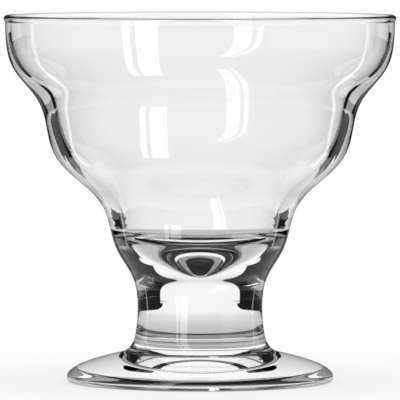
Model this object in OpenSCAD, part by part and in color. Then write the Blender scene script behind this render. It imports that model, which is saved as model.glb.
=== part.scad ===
// Footed glass ice cream dish: a tiered bowl, a short solid stem and a domed foot, all turned about +Z.
// Millimetres. The origin is on the table under the middle of the foot.

/* [Stack] */
// Height of the foot, from the table to the joint with the stem
foot_h = 13; // [10.5:0.5:18]
// Length of the stem between its two joints
stem_h = 18; // [8:0.5:40]
// Height of the bowl, from its joint with the stem to the top of the rim
bowl_h = 79.5; // [60:0.5:110]

/* [Bowl outside] */
// Diameter that the lowest tier swells to
low_tier_d = 53.6; // [42:0.2:70]
// Diameter that the middle tier swells to
mid_tier_d = 92.4; // [75:0.2:112]
// Diameter of the straight wall under the rim
top_tier_d = 117.4; // [97:0.2:142]
// Height of the step below the lowest tier, above the joint with the stem
low_step_h = 4.8; // [3:0.1:8]
// Height of the step below the middle tier, above the joint with the stem
mid_step_h = 29.6; // [24:0.1:35]
// Height of the step below the top tier, above the joint with the stem
top_step_h = 58.6; // [48:0.1:66]
// Softness of the lowest step: a smaller value makes it sharper
low_step_w = 3.3; // [2.4:0.1:4.2]
// Softness of the middle step
mid_step_w = 4.1; // [3:0.1:5]
// Softness of the top step
top_step_w = 3.6; // [2.6:0.1:4.4]

/* [Bowl inside] */
// Thickness of the straight wall under the rim
rim_wall = 1.7; // [1.4:0.1:2.6]
// Level thickness of the middle tier's wall
mid_wall = 3.4; // [2.4:0.1:5]
// Level thickness of the lowest tier's wall
low_wall = 4.1; // [3:0.1:6]
// How far the inside's middle step lies above the outside one
mid_lift = 1.7; // [0.5:0.1:2.5]
// How far the inside's top step lies above the outside one
top_lift = 0.6; // [0:0.1:1.6]
// Solid glass between the joint with the stem and the tip of the well in the floor
well_h = 4.3; // [3:0.1:7]
// Slope of the well's side, in degrees
well_slope = 44; // [36:1:52]
// Roundness of the well's tip: a smaller value makes it sharper
well_round = 3.3; // [1.5:0.1:6]
// Height of the shelf around the well, above the joint with the stem
shelf_h = 12.3; // [11:0.1:16]
// Softness of the shelf: a smaller value makes it flatter
shelf_w = 0.9; // [0.6:0.1:1.4]

/* [Rim] */
// How far the bead stands out from the wall below it
bead_proud = 0.4; // [0.2:0.05:0.8]
// Radius of the hollow where the bead meets the wall
bead_fillet = 0.6; // [0.2:0.1:1.2]

/* [Stem] */
// Diameter of the stem at its waist
stem_d = 36.8; // [28:0.2:40]
// How far the stem flares out at the joint with the foot
flare_out = 1.4; // [0.6:0.1:3]
// Height over which the flare fades up the stem
flare_fade = 5.5; // [3:0.1:9]

/* [Foot] */
// Diameter of the foot
foot_d = 80.4; // [66:0.2:100]
// Radius of the fillet between the stem and the top of the foot
foot_fillet = 5.8; // [4.4:0.1:7]
// Slope of the top of the foot where the fillet ends, in degrees
dome_slope = 12; // [6:1:20]
// Height of the widest line of the foot above the table
edge_h = 1.6; // [1:0.1:2.2]
// Width of the flat ring that stands on the table
ring_w = 2.5; // [1.5:0.1:5]
// Height of the steep side of the recess under the foot
recess_h = 2; // [1:0.1:2.6]
// How far the recess's roof rises from its side to the axis
recess_rise = 1.8; // [0.4:0.1:3]
// Draft of the recess's side, in degrees from upright
recess_draft = 8; // [4:1:20]
// Radius of the fillet between the recess's side and its roof
recess_fillet = 0.6; // [0.3:0.1:0.8]

/* [Hidden] */

glass_colour = [0.86, 0.9, 0.91, 0.45];
around = 180;
level_step = 1;
arc_step = 6;
floor_steps = 40;

// Heights of the two joints, the rim, the tip of the well, the shelf and the level where the floor ends
stem_base = foot_h;
bowl_base = stem_base + stem_h;
rim_top = bowl_base + bowl_h;
well_z = bowl_base + well_h;
shelf_z = bowl_base + shelf_h;
floor_top = shelf_z + 5 * shelf_w;

// A smooth step from 0 to 1, halfway at height h, and softer as w grows
function smooth_step(z, h, w) = 1 / (1 + exp((h - z) / w));

// Outside of bowl and stem: the waist, one smooth step for each tier, and the flare towards the foot
function outer_r(z) =
  stem_d / 2
  + (low_tier_d - stem_d) / 2 * smooth_step(z, bowl_base + low_step_h, low_step_w)
  + (mid_tier_d - low_tier_d) / 2 * smooth_step(z, bowl_base + mid_step_h, mid_step_w)
  + (top_tier_d - mid_tier_d) / 2 * smooth_step(z, bowl_base + top_step_h, top_step_w)
  + flare_out * exp((stem_base - z) / flare_fade);

// Inside wall above the floor: the same steps, drawn in by each tier's wall and lifted
function wall_in_r(z) =
  low_tier_d / 2 - low_wall
  + ((mid_tier_d - low_tier_d) / 2 - mid_wall + low_wall)
    * smooth_step(z, bowl_base + mid_step_h + mid_lift, mid_step_w)
  + ((top_tier_d - mid_tier_d) / 2 - rim_wall + mid_wall)
    * smooth_step(z, bowl_base + top_step_h + top_lift, top_step_w);

// Well in the floor: a cone with a round tip
function well_r(z) = sqrt((z - well_z + well_round)^2 - well_round^2) / tan(well_slope);

// Inside of the bowl: the well up to the shelf, where it opens out to the wall
function inner_r(z) =
  let (s = smooth_step(z, shelf_z, shelf_w))
  (1 - s) * well_r(z) + s * wall_in_r(z);

// Heights strictly between a and b, about one level_step apart
function levels(a, b) =
  let (n = ceil(abs(b - a) / level_step))
  [for (i = [1:n - 1]) a + (b - a) * i / n];

// Points of an arc about c from angle a to angle b
function arc(c, r, a, b, step = arc_step) =
  let (n = ceil(abs(b - a) / step))
  [for (i = [0:n]) let (t = a + (b - a) * i / n) c + r * [cos(t), sin(t)]];

// Points of a cubic curve from p to s, drawn towards q and then r, without its first point
function cubic(p, q, r, s, n) =
  [for (i = [1:n]) let (t = i / n, u = 1 - t) u^3 * p + 3 * u^2 * t * q + 3 * u * t^2 * r + t^3 * s];

// Rim bead: it spans the wall and stands out from it, and a fillet just touches both
lip_z = rim_top - rim_wall;
wall_r = outer_r(lip_z);
bead_r = (wall_r + bead_proud - inner_r(lip_z)) / 2;
bead_c = [inner_r(lip_z) + bead_r, rim_top - bead_r];
fillet_dx = wall_r + bead_fillet - bead_c.x;
fillet_dz = sqrt((bead_r + bead_fillet)^2 - fillet_dx^2);
fillet_c = bead_c + [fillet_dx, -fillet_dz];
fillet_turn = atan2(fillet_dz, fillet_dx);

// Foot: the fillet leaves the stem at its own lean and turns until it lies at the dome's slope
foot_joint = [outer_r(foot_h), foot_h];
lean = atan(flare_out / flare_fade);
foot_fillet_c = foot_joint + foot_fillet * [cos(lean), sin(lean)];
dome_start = foot_fillet_c - foot_fillet * [sin(dome_slope), cos(dome_slope)];
edge = [foot_d / 2, edge_h];

// The dome holds its slope for two thirds of its width, and its edge stays upright for a third of its drop
dome_hold = (edge.x - dome_start.x) * 2 / 3 * [1, -tan(dome_slope)];
edge_hold = [0, (dome_start.y - edge.y) / 3];

// Standing ring, and the recess inside it: a fillet touches its drafted side and its round roof
ring_out = edge.x - edge_h;
ring_in = ring_out - ring_w;
recess_up = (recess_h - recess_fillet * (1 - sin(recess_draft))) / cos(recess_draft);
recess_c = [
  ring_in - recess_up * sin(recess_draft) - recess_fillet * cos(recess_draft),
  recess_h - recess_fillet
];
roof_up = recess_rise + recess_fillet;
roof_r = (recess_c.x^2 + roof_up^2 - recess_fillet^2) / (2 * recess_rise);
roof_c = [0, recess_h + recess_rise - roof_r];
roof_from = atan2(recess_c.y - roof_c.y, recess_c.x);
roof_step = 1;

module turned(outline) {
  color(glass_colour) rotate_extrude($fn = around) polygon(outline);
}

module bowl() {
  outside = [for (z = levels(bowl_base, fillet_c.y)) [outer_r(z), z]];
  hollow = arc(fillet_c, bead_fillet, 180, 180 - fillet_turn);
  bead = arc(bead_c, bead_r, -fillet_turn, 180);
  inside = [for (z = levels(bead_c.y, floor_top)) [inner_r(z), z]];
  floor_curve = [
    for (i = [0:floor_steps - 1])
      let (z = well_z + (floor_top - well_z) * (1 - i / floor_steps)^2)
      [inner_r(z), z]
  ];
  joint = [[0, bowl_base], [outer_r(bowl_base), bowl_base]];
  tip = [[0, well_z]];
  turned(concat(joint, outside, hollow, [for (i = [1:len(bead) - 1]) bead[i]], inside, floor_curve, tip));
}

module stem() {
  side = [for (z = levels(stem_base, bowl_base)) [outer_r(z), z]];
  base = [[0, stem_base], [outer_r(stem_base), stem_base]];
  top = [[outer_r(bowl_base), bowl_base], [0, bowl_base]];
  turned(concat(base, side, top));
}

module foot() {
  fillet = arc(foot_fillet_c, foot_fillet, 180 + lean, 270 - dome_slope);
  dome = cubic(dome_start, dome_start + dome_hold, edge + edge_hold, edge, 24);
  rounding = arc([ring_out, edge_h], edge_h, -arc_step, -90);
  recess = concat([[ring_in, 0]], arc(recess_c, recess_fillet, recess_draft, roof_from));
  roof = arc(roof_c, roof_r, roof_from, 90, roof_step);
  turned(concat([[0, foot_h]], fillet, dome, rounding, recess, [for (i = [1:len(roof) - 1]) roof[i]]));
}

bowl();
stem();
foot();
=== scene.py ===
"""Footed glass ice cream dish: one turned outline, cut at its two fused joints into bowl, stem and foot."""
from math import atan, atan2, cos, pi, radians, sin, sqrt, tan

import bpy
import numpy as np
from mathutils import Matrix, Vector


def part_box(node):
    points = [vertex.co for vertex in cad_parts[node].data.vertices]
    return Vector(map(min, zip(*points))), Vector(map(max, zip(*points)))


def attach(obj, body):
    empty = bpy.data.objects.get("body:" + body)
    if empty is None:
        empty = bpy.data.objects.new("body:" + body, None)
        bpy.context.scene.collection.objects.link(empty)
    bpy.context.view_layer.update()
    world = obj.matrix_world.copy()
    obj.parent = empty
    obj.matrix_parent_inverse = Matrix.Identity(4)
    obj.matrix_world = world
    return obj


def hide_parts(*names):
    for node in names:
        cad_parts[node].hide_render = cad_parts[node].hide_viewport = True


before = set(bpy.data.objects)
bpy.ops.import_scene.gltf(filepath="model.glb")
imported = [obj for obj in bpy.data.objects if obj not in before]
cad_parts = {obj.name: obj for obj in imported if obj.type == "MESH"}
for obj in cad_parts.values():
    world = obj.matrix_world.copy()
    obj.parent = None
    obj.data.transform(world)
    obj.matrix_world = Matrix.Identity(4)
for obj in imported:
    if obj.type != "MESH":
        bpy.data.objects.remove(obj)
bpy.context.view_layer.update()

MM = 0.001

# Stack of the three pieces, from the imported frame
STEM_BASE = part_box("stem")[0].z
BOWL_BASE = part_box("bowl")[0].z
RIM_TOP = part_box("bowl")[1].z
FOOT_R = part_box("foot")[1].x

# Bowl outside: the radius each tier swells to, and the height and softness of the step below it
LOW_TIER_R, MID_TIER_R, TOP_TIER_R = 26.8 * MM, 46.2 * MM, 58.7 * MM
LOW_STEP_Z, MID_STEP_Z, TOP_STEP_Z = BOWL_BASE + 4.8 * MM, BOWL_BASE + 29.6 * MM, BOWL_BASE + 58.6 * MM
LOW_STEP_W, MID_STEP_W, TOP_STEP_W = 3.3 * MM, 4.1 * MM, 3.6 * MM

# Bowl inside: wall of each tier, lift of the inside steps, the well in the floor and the shelf around it
LOW_WALL, MID_WALL, RIM_WALL = 4.1 * MM, 3.4 * MM, 1.7 * MM
MID_LIFT, TOP_LIFT = 1.7 * MM, 0.6 * MM
WELL_Z, WELL_SLOPE, WELL_ROUND = BOWL_BASE + 4.3 * MM, radians(44), 3.3 * MM
SHELF_Z, SHELF_W = BOWL_BASE + 12.3 * MM, 0.9 * MM

# Height at which the shelf has run out into the wall
FLOOR_TOP = SHELF_Z + 5 * SHELF_W

# Rim bead
BEAD_PROUD, BEAD_FILLET = 0.4 * MM, 0.6 * MM

# Stem and its flare towards the foot
STEM_R = 18.4 * MM
FLARE_OUT, FLARE_FADE = 1.4 * MM, 5.5 * MM

# Foot
FOOT_FILLET, DOME_SLOPE = 5.8 * MM, radians(12)
EDGE_H, RING_W = 1.6 * MM, 2.5 * MM
RECESS_H, RECESS_RISE, RECESS_DRAFT, RECESS_FILLET = 2.0 * MM, 1.8 * MM, radians(8), 0.6 * MM

# Mesh fineness: height between rings, steps around, and points along each curve of the outline
LEVEL_STEP = 0.5 * MM
AROUND = 240
ROOF_POINTS, BEND_POINTS, SIDE_POINTS, RING_POINTS = 60, 12, 12, 10
EDGE_POINTS, DOME_POINTS, FOOT_FILLET_POINTS = 24, 70, 30
BEAD_FILLET_POINTS, BEAD_POINTS, FLOOR_POINTS = 10, 30, 70

# Glass: its index, and what each surface leaves of light that is let straight through
GLASS_INDEX, GLASS_PASS = 1.52, 0.97

# Light caught in the bowl's wall or the foot, between these heights, is let out after so many mirrorings
CAUGHT_BOUNCES = 2
WALL_FROM, WALL_TO = FLOOR_TOP, RIM_TOP - 10 * MM
FOOT_FROM, FOOT_TO = -1 * MM, STEM_BASE

# Table: its radius, its own grey and its glow, and the radii over which the glass sees the glow rise to full
TABLE_R = 6
TABLE_MATT, TABLE_GLOW = 0.4, 0.6
# Painted shade: near the dish the glass sees the table's glow dimmed
NEAR_TABLE_R, FAR_TABLE_R, TABLE_SHADE_GLOW = 0.08, 0.25, 0.4

# Room of cards: azimuths in degrees, 0 away from the camera and positive to the right
SIDES = (("left", -1), ("right", 1))
ROOM_R, ROOM_H, ROOM_GAP = 1.5, 1.5, 0.01
BACK_AZ, SIDE_AZ, FRONT_AZ = (-35, 35), np.array([28.5, 140]), (140, 220)
BACK_R, BACK_NEAR_R, BACK_SPLIT_H, BACK_H = 0.7, 0.09, 0.12, 1.45
PALE_NEAR_R, FRONT_NEAR_R, CEILING_NEAR_R = 0.48, 0.06, 0.05

# Heights of the sheets on the table, so that none lies in another's plane where they overlap
SHADE_Z, BACK_Z, DARK_Z, PALE_Z, LIGHT_Z = 0.3 * MM, 0.4 * MM, 0.5 * MM, 0.6 * MM, 1.0 * MM

# Painted shadow under the dish, black sheets where the table lies in the foot's shade: a disc under the
# stem, and a ring inside the foot's standing ring
STEM_SHADE_R, RING_SHADE_IN, RING_SHADE_OUT = 17 * MM, 27 * MM, 34 * MM

# Lights: two softboxes in front on the left and one narrow light on each side, with reflectors on the table
SOFTBOX_R, SIDE_LIGHT_R, REFLECTOR_R, LIGHT_H = 0.33, 0.45, 0.1, 0.9
SOFTBOX_AZ = {"wide": (-157.5, -145), "narrow": (-142, -137.5)}
SIDE_LIGHT_AZ = np.array([67, 71])

# Near edge of the right black sheet of painted shade, and back edge of the right black shelf, as points
# (azimuth, radius)
SHEET_EDGE = np.array([
    (26, 0.4), (27.5, 0.33), (29, 0.27), (32, 0.25), (35, 0.24), (40, 0.22), (45, 0.2),
    (52, 0.18), (60, 0.16), (80, 0.1), (100, 0.06), (120, 0.06), (140, 0.06),
])
SHELF_EDGE = np.array([
    (40, 0.085), (40, 0.1), (44, 0.13), (43, 0.18), (37, 0.22),
    (30, 0.27), (26.5, 0.4), (22, 0.8), (21, 1.2),
])
SHELF_FRONT_AZ, CARD_SHELF_Z = 60, BOWL_BASE

# Strength of a black card where 1 is white, and a depth that no light reaches
BLACK, DEEPEST = 0.01, 99

# Camera: its place, the point on the dish's axis that it looks at, and its lens and sensor in millimetres
CAMERA_AT, CAMERA_AIM = Vector((0, -1.856, 0.145)), Vector((0, 0, 0.0548))
LENS, SENSOR_W = 555.3, 36
CLIP_NEAR, CLIP_FAR = 0.1, 50

WHITE = (1, 1, 1, 1)


def smooth_step(z, middle, softness):
    """Rises from 0 to 1 about the middle height as 1 / (1 + exp((middle - z) / softness))."""
    return 1 / (1 + np.exp((middle - z) / softness))


def outer_radius(z):
    """Outside of bowl and stem: the waist, a smooth step for each tier, and a flare that decays upwards."""
    return (
        STEM_R
        + (LOW_TIER_R - STEM_R) * smooth_step(z, LOW_STEP_Z, LOW_STEP_W)
        + (MID_TIER_R - LOW_TIER_R) * smooth_step(z, MID_STEP_Z, MID_STEP_W)
        + (TOP_TIER_R - MID_TIER_R) * smooth_step(z, TOP_STEP_Z, TOP_STEP_W)
        + FLARE_OUT * np.exp((STEM_BASE - z) / FLARE_FADE)
    )


def well_radius(z):
    """Well in the floor, a cone with a round tip: sqrt((height + round)^2 - round^2) / tan(slope)."""
    up = z - WELL_Z + WELL_ROUND
    return np.sqrt(np.maximum(up**2 - WELL_ROUND**2, 0)) / tan(WELL_SLOPE)


def inner_radius(z):
    """Inside of the bowl: the well up to the shelf, then the outside's steps less each wall, and lifted."""
    low, mid, top = LOW_TIER_R - LOW_WALL, MID_TIER_R - MID_WALL, TOP_TIER_R - RIM_WALL
    tiers = (
        low
        + (mid - low) * smooth_step(z, MID_STEP_Z + MID_LIFT, MID_STEP_W)
        + (top - mid) * smooth_step(z, TOP_STEP_Z + TOP_LIFT, TOP_STEP_W)
    )
    shelf = smooth_step(z, SHELF_Z, SHELF_W)
    return (1 - shelf) * well_radius(z) + shelf * tiers


def arc(centre, radius, start, end, count):
    """Points of a circle's arc about centre, from the start angle to the end angle in radians."""
    t = np.linspace(start, end, count)
    return np.asarray(centre) + radius * np.stack([np.cos(t), np.sin(t)], axis=1)


def cubic(p, q, r, s, count):
    """Points of a cubic curve from p to s, drawn towards q and then r."""
    t = np.linspace(0, 1, count)[:, None]
    u = 1 - t
    return u**3 * p + 3 * u**2 * t * q + 3 * u * t**2 * r + t**3 * s


def levels(low, high):
    """Heights from low to high, evenly about one LEVEL_STEP apart."""
    return np.linspace(low, high, int(np.ceil(abs(high - low) / LEVEL_STEP)) + 1)


def wall(radius_at, low, high):
    """Points (radius, height) of a wall whose radius is a function of height."""
    z = levels(low, high)
    return np.stack([radius_at(z), z], axis=1)


def recess_outline(ring_in):
    """Recess under the foot, from the axis out to the standing ring.

    Its roof is an arc about the axis, its side leans in by the draft, and a fillet just touches both. The
    roof's radius R comes from (R - fillet)^2 = corner^2 + (R - rise - fillet)^2, where corner is the radius
    of the fillet's centre.
    """
    side_up = (RECESS_H - RECESS_FILLET * (1 - sin(RECESS_DRAFT))) / cos(RECESS_DRAFT)
    corner_r = ring_in - side_up * sin(RECESS_DRAFT) - RECESS_FILLET * cos(RECESS_DRAFT)
    corner = np.array([corner_r, RECESS_H - RECESS_FILLET])
    roof_r = (corner_r**2 + (RECESS_RISE + RECESS_FILLET) ** 2 - RECESS_FILLET**2) / (2 * RECESS_RISE)
    roof_c = np.array([0, RECESS_H + RECESS_RISE - roof_r])
    turn = atan2(corner[1] - roof_c[1], corner_r)
    roof = arc(roof_c, roof_r, pi / 2, turn, ROOF_POINTS)
    bend = arc(corner, RECESS_FILLET, turn, RECESS_DRAFT, BEND_POINTS)
    side = np.linspace(bend[-1], [ring_in, 0], SIDE_POINTS)
    return np.concatenate([roof, bend[1:], side[1:]])


def foot_outline():
    """Recess, standing ring, round edge, dome and fillet, from the axis up to the stem's joint.

    The fillet leaves the stem at its own lean and turns until it lies at the dome's slope. The dome holds
    that slope for two thirds of its width, and its edge stays upright for a third of its drop.
    """
    joint = np.array([outer_radius(STEM_BASE), STEM_BASE])
    lean = atan(FLARE_OUT / FLARE_FADE)
    fillet_c = joint + FOOT_FILLET * np.array([cos(lean), sin(lean)])
    dome_start = fillet_c - FOOT_FILLET * np.array([sin(DOME_SLOPE), cos(DOME_SLOPE)])
    edge = np.array([FOOT_R, EDGE_H])
    dome_hold = (edge[0] - dome_start[0]) * 2 / 3 * np.array([1, -tan(DOME_SLOPE)])
    edge_hold = np.array([0, (dome_start[1] - edge[1]) / 3])
    ring_out = FOOT_R - EDGE_H
    ring_in = ring_out - RING_W
    recess = recess_outline(ring_in)
    ring = np.linspace([ring_in, 0], [ring_out, 0], RING_POINTS)
    rounding = arc((ring_out, EDGE_H), EDGE_H, -pi / 2, 0, EDGE_POINTS)
    dome = cubic(edge, edge + edge_hold, dome_start + dome_hold, dome_start, DOME_POINTS)
    fillet = arc(fillet_c, FOOT_FILLET, 1.5 * pi - DOME_SLOPE, pi + lean, FOOT_FILLET_POINTS)
    return np.concatenate([recess, ring[1:], rounding[1:], dome[1:], fillet[1:]])


def bowl_outline():
    """Outside wall, fillet under the bead, bead, inside wall and floor, from the stem's joint to the axis.

    The bead spans the wall and stands out from it, and the fillet just touches the bead and the wall.
    """
    lip = RIM_TOP - RIM_WALL
    wall_r, lip_in = outer_radius(lip), inner_radius(lip)
    bead_r = (wall_r + BEAD_PROUD - lip_in) / 2
    bead_c = np.array([lip_in + bead_r, RIM_TOP - bead_r])
    across = wall_r + BEAD_FILLET - bead_c[0]
    down = sqrt((bead_r + BEAD_FILLET) ** 2 - across**2)
    fillet_c = bead_c + np.array([across, -down])
    turn = atan2(down, across)
    outside = wall(outer_radius, BOWL_BASE, fillet_c[1])
    fillet = arc(fillet_c, BEAD_FILLET, pi, pi - turn, BEAD_FILLET_POINTS)
    bead = arc(bead_c, bead_r, -turn, pi, BEAD_POINTS)
    inside = wall(inner_radius, bead_c[1], FLOOR_TOP)
    z = WELL_Z + (FLOOR_TOP - WELL_Z) * np.linspace(1, 0, FLOOR_POINTS) ** 2
    floor = np.stack([inner_radius(z), z], axis=1)
    floor[-1, 0] = 0
    return np.concatenate([outside[:-1], fillet, bead[1:], inside[1:], floor[1:]])


def outline_normals(points):
    """Unit normals to the right of the outline's run, from central differences along its length."""
    run = np.concatenate([[0], np.cumsum(np.linalg.norm(np.diff(points, axis=0), axis=1))])
    along = np.gradient(points, run, axis=0)
    normals = np.stack([along[:, 1], -along[:, 0]], axis=1)
    return normals / np.linalg.norm(normals, axis=1, keepdims=True)


def add_object(name, data):
    """A new object, linked into the scene."""
    made = bpy.data.objects.new(name, data)
    bpy.context.scene.collection.objects.link(made)
    return made


def spun(rows):
    """Carries rows (outward, up) about +Z: (outward cos a, outward sin a, up) with a = 2 pi j / AROUND."""
    a = np.linspace(0, 2 * pi, AROUND, endpoint=False)
    up = np.broadcast_to(rows[:, 1:], (len(rows), AROUND))
    return np.stack([rows[:, :1] * np.cos(a), rows[:, :1] * np.sin(a), up], axis=-1).reshape(-1, 3)


def turned(name, outline, normals, materials, joint_below, joint_above):
    """Turns an outline (radius, height) about +Z into a closed piece.

    Ring i, step j lies at (r cos a, r sin a, z) with a = 2 pi j / AROUND. A fan about the axis closes each
    end: a flat joint face in the second material where the outline ends off the axis, and a pole where it
    ends on it.
    """
    ringed = slice(0 if joint_below else 1, None if joint_above else -1)
    rings = outline[ringed]
    poles = [[0, 0, outline[0, 1]], [0, 0, outline[-1, 1]]]
    verts = np.concatenate([spun(rings), poles])
    step = np.arange(AROUND)
    after = (step + 1) % AROUND
    lower = AROUND * np.arange(len(rings) - 1)[:, None]
    upper = lower + AROUND
    sides = np.stack([lower + step, lower + after, upper + after, upper + step], axis=-1).reshape(-1, 4)
    low_pole, high_pole = np.full(AROUND, len(verts) - 2), np.full(AROUND, len(verts) - 1)
    low_fan = np.stack([low_pole, after, step], axis=1)
    high_fan = np.stack([upper[-1] + step, upper[-1] + after, high_pole], axis=1)
    mesh = bpy.data.meshes.new(name)
    mesh.from_pydata(verts.tolist(), [], sides.tolist() + low_fan.tolist() + high_fan.tolist())
    for material in materials:
        mesh.materials.append(material)
    slots = np.repeat([0, int(joint_below), int(joint_above)], [len(sides), AROUND, AROUND])
    mesh.polygons.foreach_set("material_index", slots.astype(np.int32))
    mesh.polygons.foreach_set("use_smooth", np.ones(len(slots), bool))
    vert_normals = np.concatenate([spun(normals[ringed]), [[0, 0, -1], [0, 0, 1]]])
    mesh.normals_split_custom_set_from_vertices(vert_normals.tolist())
    return add_object(name, mesh)


def even_grey(level):
    """The colour whose three channels have the same level."""
    return (level, level, level, 1)


def blank_material(name):
    """A new material without shader nodes, and its node tree."""
    material = bpy.data.materials.new(name)
    material.use_nodes = True
    material.node_tree.nodes.clear()
    return material, material.node_tree


def node(tree, kind, **inputs):
    """A new shader node with the given inputs set, spaces in their names written as underscores."""
    made = tree.nodes.new(kind)
    for key, value in inputs.items():
        made.inputs[key.replace("_", " ")].default_value = value
    return made


def math_node(tree, operation, first, second):
    """The output of a Math node of the given operation, each input a link from an output or a number."""
    made = tree.nodes.new("ShaderNodeMath")
    made.operation = operation
    for socket, value in zip(made.inputs, (first, second)):
        if isinstance(value, (int, float)):
            socket.default_value = value
        else:
            tree.links.new(value, socket)
    return made.outputs[0]


def link_output(tree, shader, kind="ShaderNodeOutputMaterial"):
    """Links a shader node to the surface of a new output node."""
    out = tree.nodes.new(kind)
    tree.links.new(shader.outputs[0], out.inputs["Surface"])


def clear_glass(name, low, high):
    """Colourless glass that casts little shadow, and between two heights lets out light caught inside."""
    material, tree = blank_material(name)
    glass = node(
        tree,
        "ShaderNodeBsdfPrincipled",
        Base_Color=WHITE,
        Roughness=0.0,
        IOR=GLASS_INDEX,
        Transmission_Weight=1.0,
    )
    passing = node(tree, "ShaderNodeBsdfTransparent", Color=even_grey(GLASS_PASS))
    path = tree.nodes.new("ShaderNodeLightPath")
    place = tree.nodes.new("ShaderNodeTexCoord")
    split = tree.nodes.new("ShaderNodeSeparateXYZ")
    tree.links.new(place.outputs["Object"], split.inputs[0])
    caught = math_node(tree, "GREATER_THAN", path.outputs["Glossy Depth"], CAUGHT_BOUNCES + 0.5)
    above = math_node(tree, "GREATER_THAN", split.outputs["Z"], low)
    below = math_node(tree, "LESS_THAN", split.outputs["Z"], high)
    let_out = math_node(tree, "MULTIPLY", caught, math_node(tree, "MULTIPLY", above, below))
    passes = math_node(tree, "MAXIMUM", path.outputs["Is Shadow Ray"], let_out)
    mix = tree.nodes.new("ShaderNodeMixShader")
    tree.links.new(passes, mix.inputs[0])
    tree.links.new(glass.outputs[0], mix.inputs[1])
    tree.links.new(passing.outputs[0], mix.inputs[2])
    link_output(tree, mix)
    return material


def fused_joint():
    """Where two pieces are fused nothing shows, so a joint face only passes light on."""
    material, tree = blank_material("fused_joint")
    link_output(tree, node(tree, "ShaderNodeBsdfTransparent", Color=WHITE))
    return material


def dish():
    """Bowl, stem and foot, cut from one outline so that their surfaces run on smoothly across the joints."""
    foot, stem, bowl = foot_outline(), wall(outer_radius, STEM_BASE, BOWL_BASE), bowl_outline()
    whole = np.concatenate([foot, stem[1:], bowl[1:]])
    normals = outline_normals(whole)
    at_stem, at_bowl = len(foot) - 1, len(foot) + len(stem) - 2
    joint = fused_joint()
    bowl_glass = clear_glass("clear_bowl_glass", WALL_FROM, WALL_TO)
    base_glass = clear_glass("clear_base_glass", FOOT_FROM, FOOT_TO)
    spans = {
        "bowl": (slice(at_bowl, None), bowl_glass, "bowl_glass", True, False),
        "stem": (slice(at_stem, at_bowl + 1), base_glass, "base_glass", True, True),
        "foot": (slice(None, at_stem + 1), base_glass, "base_glass", False, True),
    }
    for name, (span, glass, slot, below, above) in spans.items():
        piece = turned(f"glass_{name}", whole[span], normals[span], [glass, joint], below, above)
        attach(piece, "root")
        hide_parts(name)


def stage_mesh(name, verts, faces, material):
    """A mesh object that belongs to the studio and not to the dish."""
    mesh = bpy.data.meshes.new(name)
    mesh.from_pydata(verts.tolist(), [], faces)
    mesh.materials.append(material)
    made = add_object(name, mesh)
    return made


def disc(name, radius, height, material, count=64):
    """A level round sheet about the dish's axis: (radius cos a, radius sin a, height)."""
    a = np.linspace(0, 2 * pi, count, endpoint=False)
    ring = np.stack([radius * np.cos(a), radius * np.sin(a), np.full(count, height)], axis=1)
    return stage_mesh(name, ring, [list(range(count))], material)


def row(radius, azimuth, height):
    """Points about the dish's axis: (radius sin azimuth, radius cos azimuth, height)."""
    az = np.radians(azimuth)
    return np.stack(np.broadcast_arrays(radius * np.sin(az), radius * np.cos(az), height), axis=1)


def strip(name, first, last, material):
    """A ruled card between two rows of points, point i of one row joined to point i of the other."""
    count = len(first)
    i = np.arange(count - 1)
    faces = np.stack([i, i + 1, count + i + 1, count + i], axis=1)
    return stage_mesh(name, np.concatenate([first, last]), faces.tolist(), material)


def card(name, radius, span, low, high, material, count=24):
    """An upright curved card about the dish's axis, over a span of azimuths and between two heights."""
    az = np.linspace(*span, count)
    return strip(name, row(radius, az, low), row(radius, az, high), material)


def sheet(name, near, far, span, height, material, count=30):
    """A level sheet about the dish's axis, over a span of azimuths and between two radii."""
    az = np.linspace(*span, count)
    return strip(name, row(near, az, height), row(far, az, height), material)


def white_background():
    """A plain white world."""
    world = bpy.data.worlds.new("white_sweep")
    bpy.context.scene.world = world
    world.use_nodes = True
    world.node_tree.nodes.clear()
    white = node(world.node_tree, "ShaderNodeBackground", Color=WHITE, Strength=1.0)
    link_output(world.node_tree, white, "ShaderNodeOutputWorld")


def white_table():
    """Matt paint that keeps the dish's shadow, and a glow that makes it white to camera and glass.

    The glass sees the glow dimmed up to NEAR_TABLE_R, a painted shade about the dish, and in full from
    FAR_TABLE_R on.
    """
    material, tree = blank_material("white_table")
    matt = node(tree, "ShaderNodeBsdfDiffuse", Color=even_grey(TABLE_MATT))
    glow = node(tree, "ShaderNodeEmission", Color=even_grey(TABLE_GLOW))
    place = tree.nodes.new("ShaderNodeTexCoord")
    away = tree.nodes.new("ShaderNodeVectorMath")
    away.operation = "LENGTH"
    # Painted shade: the glow that the glass sees is dimmed near the dish
    painted_shade = node(
        tree,
        "ShaderNodeMapRange",
        From_Min=NEAR_TABLE_R,
        From_Max=FAR_TABLE_R,
        To_Min=TABLE_SHADE_GLOW,
        To_Max=1.0,
    )
    path = tree.nodes.new("ShaderNodeLightPath")
    both = tree.nodes.new("ShaderNodeAddShader")
    tree.links.new(place.outputs["Object"], away.inputs[0])
    tree.links.new(away.outputs["Value"], painted_shade.inputs["Value"])
    in_glass = math_node(tree, "MAXIMUM", path.outputs["Is Glossy Ray"], path.outputs["Is Transmission Ray"])
    shown = math_node(tree, "MULTIPLY", in_glass, painted_shade.outputs[0])
    seen = math_node(tree, "MAXIMUM", path.outputs["Is Camera Ray"], shown)
    tree.links.new(seen, glow.inputs["Strength"])
    tree.links.new(matt.outputs[0], both.inputs[0])
    tree.links.new(glow.outputs[0], both.inputs[1])
    link_output(tree, both)
    return material


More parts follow.
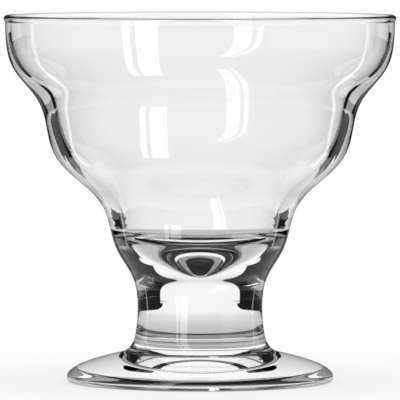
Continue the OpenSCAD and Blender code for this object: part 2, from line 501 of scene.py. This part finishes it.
def emitter(name, strength=BLACK, depth=None, first=1, last=DEEPEST, other=BLACK):
    """Paint of a plain glowing card, black where no strength is given.

    With a Light Path depth named, light at a depth from first to last sees the other strength.
    """
    material, tree = blank_material(name)
    light = node(tree, "ShaderNodeEmission", Color=WHITE, Strength=strength)
    link_output(tree, light)
    if depth:
        path = tree.nodes.new("ShaderNodeLightPath")
        from_middle = math_node(tree, "SUBTRACT", path.outputs[depth], (first + last) / 2)
        away = math_node(tree, "ABSOLUTE", from_middle, 0)
        inside = math_node(tree, "LESS_THAN", away, (last - first) / 2 + 0.5)
        choice = node(tree, "ShaderNodeMapRange", To_Min=strength, To_Max=other)
        tree.links.new(inside, choice.inputs["Value"])
        tree.links.new(choice.outputs[0], light.inputs["Strength"])
    return material


def card_paints():
    """Paints of the cards and lights by name. A strength of 1 is white, and without one a paint is black."""
    return {
        "black": emitter("black_card"),
        "dim": emitter("dim_card", strength=0.08),
        "grey": emitter("grey_card", strength=0.2),
        "softbox": emitter("softbox", strength=4.0, depth="Transmission Depth", first=1, last=3),
        "side_light": emitter("side_light", strength=2.2, depth="Transmission Depth"),
        "side_wall": emitter("side_wall", strength=0.8, depth="Transmission Depth"),
        # Painted shade on the table at each side: black to light seen straight or mirrored once, grey after
        # more mirrorings
        "side_shade_sheet": emitter("side_shade_sheet", depth="Glossy Depth", first=2, other=0.4),
        "pale": emitter("pale_card", strength=0.7),
        "rim_shade": emitter("rim_shade", depth="Transmission Depth", other=1),
    }


def back_cards(paint):
    """Cards behind the dish and pale sheets beside it, hidden from light straight through the glass."""
    cards = [
        card("outline_card", BACK_R, BACK_AZ, 0, BACK_SPLIT_H, paint["black"]),
        card("rim_card", BACK_R, BACK_AZ, BACK_SPLIT_H, BACK_H, paint["rim_shade"]),
        sheet("outline_sheet", BACK_NEAR_R, BACK_R, BACK_AZ, BACK_Z, paint["grey"]),
    ]
    for side, sign in SIDES:
        cards.append(sheet(f"pale_sheet_{side}", PALE_NEAR_R, ROOM_R, sign * SIDE_AZ, PALE_Z, paint["pale"]))
    for made in cards:
        made.visible_transmission = False
    return cards


def shade_cards(paint):
    """Painted shadow under the dish as black sheets, black ceiling, and the dim front of the room."""
    black, dim = paint["black"], paint["dim"]
    ceiling_r, ceiling_h = ROOM_R - ROOM_GAP, ROOM_H - ROOM_GAP
    return [
        # Painted shadow: black sheets under the stem and inside the foot's standing ring
        disc("stem_shade", STEM_SHADE_R, SHADE_Z, black),
        sheet("ring_shade", RING_SHADE_IN, RING_SHADE_OUT, (0, 360), SHADE_Z, black, count=65),
        disc("black_ceiling", ROOM_R, ROOM_H, black),
        sheet("dim_ceiling_front", CEILING_NEAR_R, ceiling_r, FRONT_AZ, ceiling_h, dim, count=20),
        card("dim_card_front", ROOM_R, FRONT_AZ, 0, ROOM_H, dim),
        sheet("dim_sheet_front", FRONT_NEAR_R, ROOM_R, FRONT_AZ, DARK_Z, dim, count=20),
    ]


def softboxes(paint):
    """The two upright lights in front, each with a reflector on the table between it and the dish."""
    glow = paint["softbox"]
    cards = []
    for name, span in SOFTBOX_AZ.items():
        cards.append(card(f"softbox_{name}", SOFTBOX_R, span, 0, LIGHT_H, glow, count=8))
        cards.append(sheet(f"reflector_{name}", REFLECTOR_R, SOFTBOX_R, span, LIGHT_Z, glow, count=8))
    return cards


def side_cards(paint):
    """On each side a pale wall, a narrow light with its reflector, a black shelf and a black table sheet of
    painted shade.
    """
    glow = paint["side_light"]
    cards = []
    shelf_az, shelf_r = SHELF_EDGE.T
    sheet_az, sheet_r = SHEET_EDGE.T
    for side, sign in SIDES:
        az = sign * SIDE_LIGHT_AZ
        shelf_back = row(shelf_r, sign * shelf_az, CARD_SHELF_Z)
        shelf_front = row(shelf_r, sign * SHELF_FRONT_AZ, CARD_SHELF_Z)
        sheet_near = row(sheet_r, sign * sheet_az, DARK_Z)
        sheet_far = row(ROOM_R, sign * sheet_az, DARK_Z)
        cards += [
            card(f"side_wall_{side}", ROOM_R, sign * SIDE_AZ, 0, ROOM_H, paint["side_wall"]),
            card(f"side_light_{side}", SIDE_LIGHT_R, az, 0, LIGHT_H, glow, count=4),
            sheet(f"side_reflector_{side}", REFLECTOR_R, SIDE_LIGHT_R, az, LIGHT_Z, glow, count=4),
            strip(f"black_shelf_{side}", shelf_back, shelf_front, paint["black"]),
            # Black sheet of painted shade on the table
            strip(f"side_shade_sheet_{side}", sheet_near, sheet_far, paint["side_shade_sheet"]),
        ]
    return cards


def card_stand(cards, camera):
    """Turns the cards with the camera, so that each view is lit alike, and shows them only in the glass."""
    stand = add_object("card_stand", None)
    follow = stand.constraints.new("LOCKED_TRACK")
    follow.target = camera
    follow.track_axis, follow.lock_axis = "TRACK_NEGATIVE_Y", "LOCK_Z"
    for made in cards:
        made.parent = stand
        made.visible_camera = made.visible_diffuse = made.visible_shadow = False


def studio(camera):
    """White background and table, cards that draw the glass's dark and pale lines, and lights it mirrors."""
    bpy.context.scene.view_settings.view_transform = "Standard"
    white_background()
    disc("table", TABLE_R, 0, white_table())
    paint = card_paints()
    card_stand(back_cards(paint) + shade_cards(paint) + softboxes(paint) + side_cards(paint), camera)


def photograph():
    """Camera a little above the rim, far off with a long lens."""
    data = bpy.data.cameras.new("camera")
    data.sensor_width = SENSOR_W
    data.lens = LENS
    data.clip_start, data.clip_end = CLIP_NEAR, CLIP_FAR
    camera = add_object("camera", data)
    camera.location = CAMERA_AT
    camera.rotation_mode = "QUATERNION"
    camera.rotation_quaternion = (CAMERA_AIM - CAMERA_AT).to_track_quat("-Z", "Y")
    bpy.context.scene.camera = camera
    return camera


dish()
studio(photograph())
